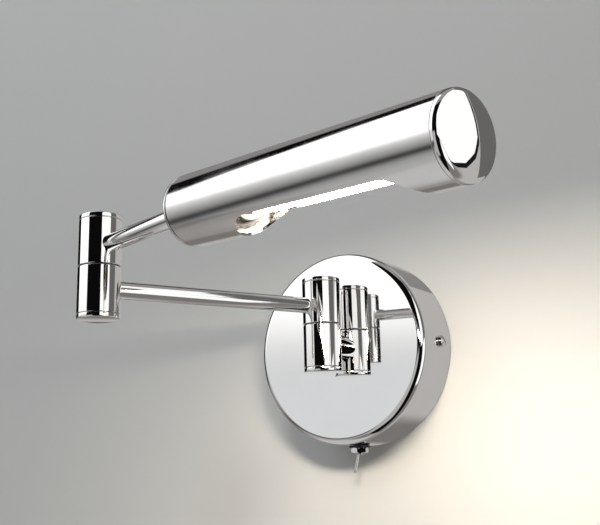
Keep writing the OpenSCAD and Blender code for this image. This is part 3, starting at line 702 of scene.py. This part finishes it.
class OBJECT_OT_wall_light_head(bpy.types.Operator):
    """Makes the lamp head: its tube with the light slot, back cap and domed front cap"""
    bl_idname = "wall_light.head"
    bl_label = "Lamp head"

    def execute(self, context):
        s = sizes()
        r = HEAD_R
        bore, groove_r = r - s.head_wall, r - 0.8 * MM
        place = head_axis_up()
        flange, start = 1.3 * MM, 2.0 * MM
        section = eased([(bore, start, 0.1 * MM), (r, start, 0.15 * MM),
                         (r, s.head_length, 0.15 * MM), (bore, s.head_length, 0.1 * MM)],
                        0, steps=3)
        tube = turned("head_tube_drawn", section, place, finish("chrome_tube"),
                      facets=2 * s.facets)
        end_r = s.slot_width / 2
        bm = bmesh.new()
        outline = []
        for centre, first in ((s.slot_start + end_r, math.pi / 2),
                              (s.slot_end - end_r, -math.pi / 2)):
            for k in range(49):
                a = first + math.pi * k / 48
                outline.append((centre + end_r * math.cos(a), end_r * math.sin(a)))
        lower = [bm.verts.new((x, y, -2 * r)) for x, y in outline]
        upper = [bm.verts.new((x, y, 0)) for x, y in outline]
        bm.faces.new(lower[::-1])
        bm.faces.new(upper)
        skin(bm, [lower, upper], closed=False)
        cut(tube, [finish_mesh("cutter", bm, head_place(), None)])
        true_round(tube)
        fitted(tube, "head", "chrome", "head_tube")

        hub = 4.05 * MM
        section = eased([(hub, 0.66 * MM, 0), (5.85 * MM, 0.66 * MM, 0), (5.85 * MM, 0, 0.15 * MM),
                         (r, 0, 0.4 * MM), (r, flange, 0.2 * MM), (groove_r, flange, 0),
                         (groove_r, start, 0), (bore, start, 0), (bore, 8 * MM, 0.2 * MM),
                         (bore - 2 * MM, 8 * MM, 0.2 * MM), (bore - 2 * MM, 3 * MM, 0.4 * MM),
                         (7.5 * MM, 3 * MM, 0.4 * MM), (7.5 * MM, 9 * MM, 0.2 * MM),
                         (hub, 9 * MM, 0.1 * MM)], 0, steps=4)
        back = turned("head_back_cap_turned", section, place, finish("chrome_turned"),
                      facets=2 * s.facets)
        # Painted shade: the faces in the groove between the flange and the tube take the black
        # moulded finish, standing in for the shade that falls in the groove.
        back.data.materials.append(finish("black"))
        for face in back.data.polygons:
            way = math.hypot(face.center.x, face.center.y)
            if flange + 0.01 * MM < face.center.z < start and way > bore + 0.1 * MM:
                face.material_index = 1
        fitted(back, "head", "chrome", "head_back_cap")

        at = s.head_length
        edge, band, dome_r = 2.4 * MM, 0.3 * MM, 60.0 * MM
        flat = r - edge
        lean = math.asin(flat / (dome_r - edge))
        dome_at = at + band - (dome_r - edge) * math.cos(lean)
        section = [(bore - 1.4 * MM, at - 7.3 * MM), (bore, at - 7.3 * MM), (bore, at),
                   (r - 0.3 * MM, at), (r - 0.3 * MM, at + 0.22 * MM), (r, at + 0.22 * MM)]
        for k in range(17):
            a = (math.pi / 2 - lean) * k / 16
            section.append((flat + edge * math.cos(a), at + band + edge * math.sin(a)))
        for k in range(1, 25):
            a = lean * (1 - k / 24)
            section.append((dome_r * math.sin(a), dome_at + dome_r * math.cos(a)))
        section += [(0, at - 0.4 * MM), (bore - 1.4 * MM, at - 0.4 * MM)]
        front = turned("head_front_cap_domed", section, place, finish("chrome"),
                       facets=2 * s.facets, edge_angle=48)
        fitted(front, "head", "chrome", "head_front_cap")
        return {"FINISHED"}


class OBJECT_OT_wall_light_lamp(bpy.types.Operator):
    """Makes the lit tubular lamp, its rolled screw shell, the holder and the white reflector"""
    bl_idname = "wall_light.lamp"
    bl_label = "Lamp"

    def execute(self, context):
        s = sizes()
        place = head_axis_up()
        r, neck, wall = 8.0 * MM, 6.2 * MM, 0.7 * MM
        tip, back, shoulder = 112 * MM, 32 * MM, 48 * MM
        outer = [(neck, back), (neck, 38 * MM)]
        for k in range(1, 17):
            t = k / 16
            ease = t * t * (3 - 2 * t)
            outer.append((neck + (r - neck) * ease, 38 * MM + (shoulder - 38 * MM) * t))
        for k in range(25):
            a = math.radians(90 * k / 24)
            outer.append((r * math.cos(a), tip - r + r * math.sin(a)))
        outer[-1] = (0, tip)
        inner = [(max(0, x - wall), min(z, tip - wall)) for x, z in reversed(outer)]
        inner[0] = (0, tip - wall)
        glass = turned("lamp_glass_blown", outer + inner[:-1] + [(neck - wall, back)], place,
                       finish("glass"), edge_angle=60)
        fitted(glass, "head", "glass", "lamp_glass")

        shell = self.rolled_shell("lamp_shell_rolled", 6.9 * MM, 0.5 * MM, 22.5 * MM, 38 * MM,
                                  s.cap_pitch, 0.42 * MM, place, finish("shell"))
        fitted(shell, "head", "shell", "lamp_shell")

        ribs = mm((2, 15.5), (10.7, 15.5), (11.5, 16.3))
        for k in range(5):
            z = 17.4 + 2.0 * k
            ribs += mm((11.5, z), (11.1, z + 0.2), (11.1, z + 0.7), (11.5, z + 0.9))
        ribs += mm((11.5, 28), (9.5, 28), (9.5, 32))
        for k in range(3):
            z = 32.3 + 1.2 * k
            ribs += mm((9.15, z + 0.3), (9.5, z + 0.6))
        ribs += mm((9.5, 35.7), (9.2, 36), (6.95, 36), (6.95, 20), (2, 20))
        holder = turned("lamp_holder_moulded", ribs, place, finish("black"), facets=128)
        fitted(holder, "head", "black", "lamp_holder")

        teeth, facets = bmesh.new(), 144
        rows = []
        for z, inset in ((29.0, 0.35), (29.35, 0.0), (31.65, 0.0), (32.0, 0.35)):
            def milled(a, inset=inset):
                notch = 0.3 if round(a * facets / TURN) // 3 % 2 else 0.0
                return (11.8 - inset - notch) * MM
            rows.append(ring(teeth, milled, z * MM, facets))
        rows += [ring(teeth, HOLDER_THREAD_R, z * MM, facets) for z in (32.0, 29.0)]
        skin(teeth, rows)
        milled_ring = finish_mesh("lamp_holder_ring_milled", teeth, place, finish("black"), 25)
        fitted(milled_ring, "head", "black", "lamp_holder_ring")

        self.reflector()
        return {"FINISHED"}

    @staticmethod
    def rolled_shell(name, r, wall, low, high, pitch, depth, place, material):
        """A screw shell rolled from thin metal, as one helical surface with an inner face."""
        facets, rows = 96, 72
        bm = bmesh.new()
        rings = []
        for side in (0, 1):
            for i in range(rows + 1):
                t = i / rows if side == 0 else 1 - i / rows
                z = low + (high - low) * t
                fade = min(1.0, t * 8, (1 - t) * 8)

                def rolled(a, side=side, z=z, fade=fade):
                    wave = 0.5 - 0.5 * math.cos(TURN * (z / pitch) - a)
                    return r - side * wall - depth * fade * wave
                rings.append(ring(bm, rolled, z, facets))
        skin(bm, rings)
        return finish_mesh(name, bm, place, material, 60)

    @staticmethod
    def reflector():
        """The white trough above the lamp, pressed with shallow ribs, and its bulkhead."""
        outer, thick = 13.6 * MM, 0.5 * MM
        back, start, end = 28 * MM, 29 * MM, 126.4 * MM
        half = math.radians(100)
        bm = bmesh.new()
        rows, parts = 96, 64
        sheets = []
        for side in (0, 1):
            sheet = []
            for i in range(rows + 1):
                z = start + (end - start) * i / rows
                rib = 0.5 - 0.5 * math.cos(TURN * (z - start) / (6 * MM))
                r = outer - thick * side - (0.12 * MM * rib)
                line = []
                for k in range(parts + 1):
                    a = math.pi - half + 2 * half * k / parts
                    line.append(bm.verts.new((r * math.cos(a), r * math.sin(a), z)))
                sheet.append(line)
            sheets.append(sheet)
        for side, sheet in enumerate(sheets):
            for i in range(rows):
                for k in range(parts):
                    face = (sheet[i][k], sheet[i][k + 1], sheet[i + 1][k + 1], sheet[i + 1][k])
                    bm.faces.new(face if side == 0 else face[::-1])
        a, b = sheets
        for i in range(rows):
            bm.faces.new((a[i][0], a[i + 1][0], b[i + 1][0], b[i][0]))
            bm.faces.new((a[i][parts], b[i][parts], b[i + 1][parts], a[i + 1][parts]))
        for k in range(parts):
            bm.faces.new((a[0][k], b[0][k], b[0][k + 1], a[0][k + 1]))
            bm.faces.new((a[rows][k], a[rows][k + 1], b[rows][k + 1], b[rows][k]))
        trough = finish_mesh("reflector_trough", bm, head_axis_up(), finish("white"), 40)
        bulkhead = turned("reflector_bulkhead", eased(
            [(HOLDER_THREAD_R, back), (outer, back), (outer, start), (HOLDER_THREAD_R, start)],
            0.15 * MM, steps=3), head_axis_up(), finish("white"), facets=128)
        fitted(trough, "head", "white", "reflector")
        fitted(bulkhead, "head", "white")


class OBJECT_OT_wall_light_switch(bpy.types.Operator):
    """Makes the switch below the canopy: threaded bushing, chamfered nuts, washer and lever"""
    bl_idname = "wall_light.switch"
    bl_label = "Switch"

    def execute(self, context):
        s = sizes()
        low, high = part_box("switch_bushing")
        pivot = joint_place("switch_toggle")
        washer_low, washer_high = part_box("switch_washer")
        nut_low, nut_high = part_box("switch_outer_nut")
        place = upright(pivot.x, pivot.y, 0)
        thread = self.threaded("switch_bushing_threaded", 3.0 * MM, 2.45 * MM, low.z,
                               high.z - 1.5 * MM, s.thread_pitch, 0.28 * MM, place)
        bm = bmesh.new()
        bmesh.ops.create_cube(bm, size=1.0, matrix=Matrix.Translation(
            (0, 0, high.z - 0.75 * MM)) @ Matrix.Diagonal((13 * MM, 8 * MM, 1.5 * MM, 1)))
        bmesh.ops.bevel(bm, geom=bm.edges[:], offset=0.25 * MM, segments=2, affect="EDGES")
        plate = finish_mesh("switch_bushing_plate", bm, place, finish("nickel"))
        fitted(thread, "base", "nickel", "switch_bushing")
        fitted(plate, "base", "nickel")

        inner_low, inner_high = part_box("switch_inner_nut")
        for name, node, low_z, high_z, turn in (
                ("switch_outer_nut_hex", "switch_outer_nut", nut_low.z, nut_high.z, 12.0),
                ("switch_inner_nut_hex", "switch_inner_nut", inner_low.z, inner_high.z, 0.0)):
            nut = self.nut(name, 8 * MM, 2.98 * MM, high_z - low_z,
                           upright(pivot.x, pivot.y, low_z)
                           @ Matrix.Rotation(math.radians(turn), 4, "Z"), finish("chrome_turned"))
            fitted(nut, "base", "nickel", node)

        h = washer_high.z - washer_low.z
        bore, r = 3.05 * MM, 5.5 * MM
        section = eased([(bore, 0, 0.1 * MM), (r, 0, 0.3 * MM), (r, h, 0.2 * MM),
                         (bore, h, 0.1 * MM)], 0, steps=3)
        washer = turned("switch_collar", section, upright(pivot.x, pivot.y, washer_low.z),
                        finish("black"), facets=96)
        fitted(washer, "base", "black", "switch_washer")

        tip = 13.4 * MM
        profile = mm((0, 2.6), (0.45, 2.6), (0.6, 2.45), (0.6, 2.1), (1.2, 1.66), (1.75, 1.07),
                     (2.0, 0.45), (2.05, 0), (2.0, -0.45), (1.75, -1.07), (1.2, -1.66),
                     (0.72, -2.0), (0.6, -2.4), (0.64, -6), (0.7, -9), (0.75, -12))
        end_r = 0.75 * MM
        for k in range(13):
            a = math.radians(7.5 * k)
            profile.append((end_r * math.cos(a), -(tip - end_r) - end_r * math.sin(a)))
        profile[-1] = (0, -tip)
        lean = Matrix.Rotation(LEVER_LEAN, 4, "Y")
        lever = turned("switch_lever_bat", profile, Matrix.Translation(pivot) @ lean,
                       finish("chrome_turned"), facets=64, closed=False, edge_angle=60)
        fitted(lever, "lever", "chrome", "switch_lever")
        return {"FINISHED"}

    @staticmethod
    def threaded(name, r, bore, low, high, pitch, depth, place):
        """A bushing with its thread as one helical surface, fading out at both ends."""
        facets = 72
        rows = max(24, int((high - low) / pitch * 8))
        bm = bmesh.new()
        rings = []
        for i in range(rows + 1):
            t = i / rows
            z = low + (high - low) * t
            fade = min(1.0, t * rows / 4, (1 - t) * rows / 4)

            def cut_thread(a, z=z, fade=fade):
                tooth = abs(2 * ((z / pitch - a / TURN) % 1.0) - 1)
                return r - depth * min(1.0, 1.25 * tooth) * (0.3 + 0.7 * fade)
            rings.append(ring(bm, cut_thread, z, facets))
        rings += [ring(bm, bore, z, facets) for z in (high, low)]
        skin(bm, rings)
        return finish_mesh(name, bm, place, finish("nickel"), 70)

    @staticmethod
    def nut(name, across, bore, h, place, material):
        """A hexagon nut with both faces chamfered to a circle."""
        facets = 120
        bm = bmesh.new()
        rings = []
        chamfer = 0.35 * MM
        for level in range(9):
            z = h * level / 8
            cone = across / 2 + chamfer * 0.35 + min(z, h - z) * 1.7

            def hexagon(a, cone=cone):
                flat = (a + math.pi / 6) % (math.pi / 3) - math.pi / 6
                return min(across / 2 / math.cos(flat), cone)
            rings.append(ring(bm, hexagon, z, facets))
        rings += [ring(bm, bore, z, facets) for z in (h, 0)]
        skin(bm, rings)
        return finish_mesh(name, bm, place, material, 18)


class OBJECT_OT_wall_light_finishes(bpy.types.Operator):
    """Gives each piece that keeps its made shape its finish"""
    bl_idname = "wall_light.finishes"
    bl_label = "Finishes"

    def execute(self, context):
        by_finish = {
            "zinc": ("wall_bracket", "earth_washer", "stem_nut", "base_spindle_nut",
                     "elbow_spindle_nut"),
            "rubber": ("cable_grommet",),
            "brass": ("earth_screw", "terminal_barrels", "stem_nipple", "head_spigot",
                      "lamp_holder_contact"),
            "block": ("terminal_block",),
            "nickel": ("terminal_screws", "terminal_fixing_screw", "switch_terminals",
                       "base_spindle", "elbow_spindle", "spigot_nut"),
            "steel": ("stem_lock_washer", "base_spring_washer", "elbow_spring_washer",
                      "spigot_spring_washer"),
            "black": ("base_thrust_washer", "elbow_thrust_washer"),
            "switch": ("switch_body",),
            "insulator": ("lamp_tip_contact",),
            "tungsten": ("lamp_filament",),
            "chrome": ("stem_spacer",),
        }
        for name, nodes in by_finish.items():
            for node in nodes:
                dress(node, name)
        for node, piece in frame["nodes"].items():
            if piece.hide_render:
                dress(node, "chrome")
        return {"FINISHED"}


class OBJECT_OT_wall_light_stage(bpy.types.Operator):
    """Makes the wall, the floor, the soft studio light and the camera"""
    bl_idname = "wall_light.stage"
    bl_label = "Stage"

    def execute(self, context):
        scene = context.scene
        self.wall_and_floor()
        self.lights()
        self.studio(scene)
        camera = bpy.data.objects.new("camera", bpy.data.cameras.new("camera"))
        scene.collection.objects.link(camera)
        turn = Matrix(CAMERA_AXES).transposed().to_4x4()
        camera.matrix_world = Matrix.Translation(CAMERA_PLACE) @ turn
        camera.data.sensor_fit = "HORIZONTAL"
        camera.data.sensor_width = 36.0
        camera.data.lens = 55.1
        camera.data.clip_start = 0.01
        scene.camera = camera
        scene.view_settings.view_transform = "Standard"
        return {"FINISHED"}

    @staticmethod
    def plane(name, corners, material):
        bm = bmesh.new()
        bm.faces.new([bm.verts.new(c) for c in corners])
        mesh = bpy.data.meshes.new(name)
        bm.to_mesh(mesh)
        bm.free()
        mesh.materials.append(material)
        piece = bpy.data.objects.new(name, mesh)
        bpy.context.scene.collection.objects.link(piece)
        return piece

    def wall_and_floor(self):
        c = colours()
        material, n = new_finish("painted wall")
        grain = n.noise(n.place(), 260.0, 4.0, 0.55)
        tone = n.noise(n.place(), 3.0, 3.0, 0.5)
        n.link(n.ramp(tone, [(0.3, shade(c.wall, 0.985)), (0.7, shade(c.wall, 1.015))]),
               n.shader.inputs["Base Color"])
        n.shader.inputs["Roughness"].default_value = 0.85
        n.shader.inputs["Specular IOR Level"].default_value = 0.2
        n.bump(grain, 0.12, 0.1 * MM)
        clear = n.add("ShaderNodeBsdfTransparent")
        side = n.add("ShaderNodeNewGeometry")
        n.link(n.either(side.outputs["Backfacing"], n.shader.outputs[0], clear.outputs[0]),
               n.out.inputs[0])
        wide, top, bottom = 0.75, 0.50, -0.55
        wall = self.plane("wall", [(-wide, WALL_FACE, bottom), (wide, WALL_FACE, bottom),
                                   (wide, WALL_FACE, top), (-wide, WALL_FACE, top)], material)
        wall.visible_glossy = False
        floor_material, f = new_finish("painted floor")
        speck = f.noise(f.place(), 40.0, 4.0, 0.5)
        f.link(f.ramp(speck, [(0.3, shade(tuple(c.floor), 0.98)), (0.7, tuple(c.floor))]),
               f.shader.inputs["Base Color"])
        f.shader.inputs["Roughness"].default_value = 0.8
        floor = self.plane("floor", [(-1.6, -2.4, bottom), (1.6, -2.4, bottom),
                                     (1.6, 0.6, bottom), (-1.6, 0.6, bottom)], floor_material)
        floor.visible_glossy = False
        self.card("white_card", (0.2663, -0.094), (0.42, -0.50), 0.016, 0.29, (1.10, 1.09, 1.07))
        self.card("dark_card", (0.2660, -0.088), (0.425, -0.51), 0.010, 0.30, (0.01, 0.01, 0.01))
        self.card("grey_card", (0.10, -0.004), (0.2640, -0.087), 0.012, 0.31, (0.14, 0.135, 0.13))

    def card(self, name, near_wall, far, bottom, top, rgb):
        """A card beside the camera that only the polished metal sees."""
        material = bpy.data.materials.new(name)
        n = Tree(material)
        out, shine = n.add("ShaderNodeOutputMaterial"), n.add("ShaderNodeEmission")
        n.give(rgb, shine.inputs["Color"])
        n.link(shine.outputs[0], out.inputs[0])
        (x1, y1), (x2, y2) = near_wall, far
        outline = [(x2, y2, bottom), (x2, y2, top), (x1, y1, top)]
        for share, up in ((0.0, 0.055), (0.025, 0.030), (0.075, 0.010), (0.16, 0.0)):
            outline.append((x1 + share * (x2 - x1), y1 + share * (y2 - y1), bottom + up))
        card = self.plane(name, outline, material)
        card.visible_camera = card.visible_diffuse = card.visible_shadow = False
        card.visible_transmission = card.visible_volume_scatter = False

    @staticmethod
    def lights():
        def aimed(place, target):
            aim = Vector(target) - Vector(place)
            return Matrix.Translation(place) @ aim.to_track_quat("-Z", "Y").to_matrix().to_4x4()

        def soft(name, place, size, watts, rgb):
            light = bpy.data.lights.new(name, "AREA")
            light.shape = "RECTANGLE"
            light.size, light.size_y = size
            light.energy = watts
            light.color = rgb
            lamp = bpy.data.objects.new(name, light)
            bpy.context.scene.collection.objects.link(lamp)
            lamp.matrix_world = place
            lamp.visible_glossy = False
            lamp.visible_camera = False
            return lamp

        soft("key", aimed((0.22, -0.95, 0.66), (0, 0, 0)), (0.22, 0.22), 3.6, (1.0, 0.985, 0.96))
        soft("fill", aimed((-1.0, -1.0, 1.1), (-0.45, 0.0, 0.4)), (1.0, 1.0), 9.4,
             (0.84, 0.92, 1.0))
        s = sizes()
        mouth = head_place() @ Matrix.Translation(((s.slot_start + s.slot_end) / 2, 0, -0.015))
        glow = soft("lamp_glow", mouth, (0.086, 0.020), 0.7, (1.0, 0.90, 0.78))
        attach(glow, "head")

    @staticmethod
    def studio(scene):
        """The studio as polished metal sees it: two soft boxes, dark cloth and a grey room."""
        world = bpy.data.worlds.new("studio")
        scene.world = world
        n = Tree(world)
        maths = n.maths
        out = n.add("ShaderNodeOutputWorld")
        coordinates = n.add("ShaderNodeTexCoord")
        parts = n.add("ShaderNodeSeparateXYZ")
        n.link(coordinates.outputs["Generated"], parts.inputs[0])

        def step(value, edge, soft, rising=True):
            node = n.add("ShaderNodeMapRange", interpolation_type="SMOOTHSTEP")
            low, high = (0.0, 1.0) if rising else (1.0, 0.0)
            n.settle(node, {"From Min": edge - soft, "From Max": edge + soft,
                            "To Min": low, "To Max": high})
            n.link(value, node.inputs["Value"])
            return node.outputs[0]

        def blend(value, over, mask):
            node = n.add("ShaderNodeMix", data_type="RGBA")
            n.give(value, node.inputs[6])
            n.give(over, node.inputs[7])
            n.link(mask, node.inputs[0])
            return node.outputs[2]

        def product(*masks):
            value = masks[0]
            for mask in masks[1:]:
                value = maths("MULTIPLY", value, mask)
            return value

        x, y, z = parts.outputs
        out_of_wall = maths("MULTIPLY", y, -1.0)
        turn = maths("MULTIPLY", maths("ARCTAN2", x, out_of_wall), 180 / math.pi)
        rise = maths("MULTIPLY", maths("ARCSINE", z), 180 / math.pi)
        tilt = maths("ADD", maths("ADD", maths("MULTIPLY", x, -0.436), maths("MULTIPLY", y, 0.810)),
                     maths("MULTIPLY", z, -0.393))

        def patch(value, rgb, turn_low, turn_high, rise_low, rise_high, soft=2.0):
            return blend(value, rgb, product(
                step(turn, turn_low, soft), step(turn, turn_high, soft, False),
                step(rise, rise_low, soft), step(rise, rise_high, soft, False)))

        room = (0.30, 0.295, 0.285)
        value = blend(room, (0.20, 0.185, 0.175), step(rise, -8.0, 14.0, False))
        value = blend(value, (0.47, 0.455, 0.44), step(y, 0.42, 0.12))
        low_left = maths("MULTIPLY", step(x, -0.02, 0.10, False), step(z, -0.20, 0.08, False))
        value = blend(value, (0.19, 0.18, 0.17), maths("MULTIPLY", low_left, step(y, 0.42, 0.12)))
        value = patch(value, (0.25, 0.24, 0.235), -200, -90, 22, 95, 3.0)
        value = patch(value, (0.30, 0.285, 0.275), -200, -40, -90, -29, 2.0)
        value = patch(value, (0.52, 0.51, 0.50), -140, -40, -90, -38, 7.0)
        value = patch(value, (0.004, 0.004, 0.004), -138, -70, -3, 26, 3.0)
        # The left soft box, cut off above by a dark edge that leans with the lamp head
        glow = n.add("ShaderNodeValToRGB")
        n.link(maths("MULTIPLY", maths("ADD", rise, 42.0), 1 / 60), glow.inputs[0])
        levels = [(-42, 0.46), (-34, 0.40), (-28, 0.33), (-24, 0.22), (-21, 0.10), (-18, 0.045),
                  (-15, 0.10), (-12, 0.21), (-8, 0.32), (-4, 0.41), (1, 0.55), (6, 0.72),
                  (14, LIT_LEVEL)]
        stops = glow.color_ramp.elements
        while len(stops) < len(levels):
            stops.new(0.5)
        for stop, (angle, level) in zip(stops, levels):
            stop.position = (angle + 42) / 60
        for stop, (angle, level) in zip(stops, levels):
            stop.color = (level / LIT_LEVEL, level / LIT_LEVEL, level / 1.37, 1.0)
        white = n.add("ShaderNodeVectorMath", operation="SCALE")
        white.inputs["Scale"].default_value = LIT_LEVEL
        n.link(glow.outputs[0], white.inputs[0])
        above = maths("MULTIPLY", step(tilt, 0.02, 0.012, False), step(rise, 24.0, 2.0))
        box_mask = product(maths("MAXIMUM", above, step(turn, -79.0, 1.5)),
                           step(turn, -115.0, 2.0), step(turn, -18.0, 1.5, False),
                           step(rise, -38.0, 3.0))
        dark = product(step(tilt, -0.05, 0.012), step(tilt, 0.22, 0.015, False),
                       step(turn, -60.0, 2.0, False), step(rise, 18.0, 4.0))
        value = blend(value, CLOTH, dark)
        value = blend(value, white.outputs[0], box_mask)
        value = patch(value, (0.70, 0.71, 0.72), -46, -22, -12, 7.5, 3.0)
        # Dark cloth ahead with a grey floor in front of it, then the right soft box
        value = patch(value, CLOTH, -18, 66, -90, 62, 1.5)
        value = patch(value, (0.46, 0.45, 0.44), -20, 15, -48, 3, 3.0)
        value = patch(value, (1.15, 1.14, 1.12), 66, 100, -34, 52, 2.0)

        def background(rgb, strength=1.0):
            node = n.add("ShaderNodeBackground")
            n.give(rgb, node.inputs["Color"])
            node.inputs["Strength"].default_value = strength
            return node.outputs[0]

        path = n.add("ShaderNodeLightPath")
        others = n.either(path.outputs["Is Glossy Ray"], background((0.70, 0.71, 0.72), 0.30),
                          background(value))
        n.link(n.either(path.outputs["Is Camera Ray"], others, background((0.62, 0.63, 0.63))),
               out.inputs[0])


class VIEW3D_PT_wall_light(bpy.types.Panel):
    """Lists the wall light's pieces, sizes and colours"""
    bl_idname = "VIEW3D_PT_wall_light"
    bl_label = "Wall light"
    bl_space_type = "VIEW_3D"
    bl_region_type = "UI"
    bl_category = "Wall light"

    def draw(self, context):
        layout = self.layout
        for operator in PIECES:
            layout.operator(operator.bl_idname, text=operator.bl_label)
        for group in (context.scene.wall_light_sizes, context.scene.wall_light_colours):
            column = layout.column(align=True)
            for name in group.__annotations__:
                column.prop(group, name)


PIECES = (
    OBJECT_OT_wall_light_canopy,
    OBJECT_OT_wall_light_knuckles,
    OBJECT_OT_wall_light_arms,
    OBJECT_OT_wall_light_head,
    OBJECT_OT_wall_light_lamp,
    OBJECT_OT_wall_light_switch,
    OBJECT_OT_wall_light_finishes,
    OBJECT_OT_wall_light_stage,
)
CLASSES = (WallLightSizes, WallLightColours, *PIECES, VIEW3D_PT_wall_light)


def register():
    for cls in CLASSES:
        bpy.utils.register_class(cls)
    bpy.types.Scene.wall_light_sizes = PointerProperty(type=WallLightSizes)
    bpy.types.Scene.wall_light_colours = PointerProperty(type=WallLightColours)


def unregister():
    del bpy.types.Scene.wall_light_colours
    del bpy.types.Scene.wall_light_sizes
    for cls in reversed(CLASSES):
        bpy.utils.unregister_class(cls)


def main():
    register()
    bpy.ops.wall_light.canopy()
    bpy.ops.wall_light.knuckles()
    bpy.ops.wall_light.arms()
    bpy.ops.wall_light.head()
    bpy.ops.wall_light.lamp()
    bpy.ops.wall_light.switch()
    bpy.ops.wall_light.finishes()
    bpy.ops.wall_light.stage()
    bpy.context.view_layer.update()


if __name__ == "__main__":
    main()
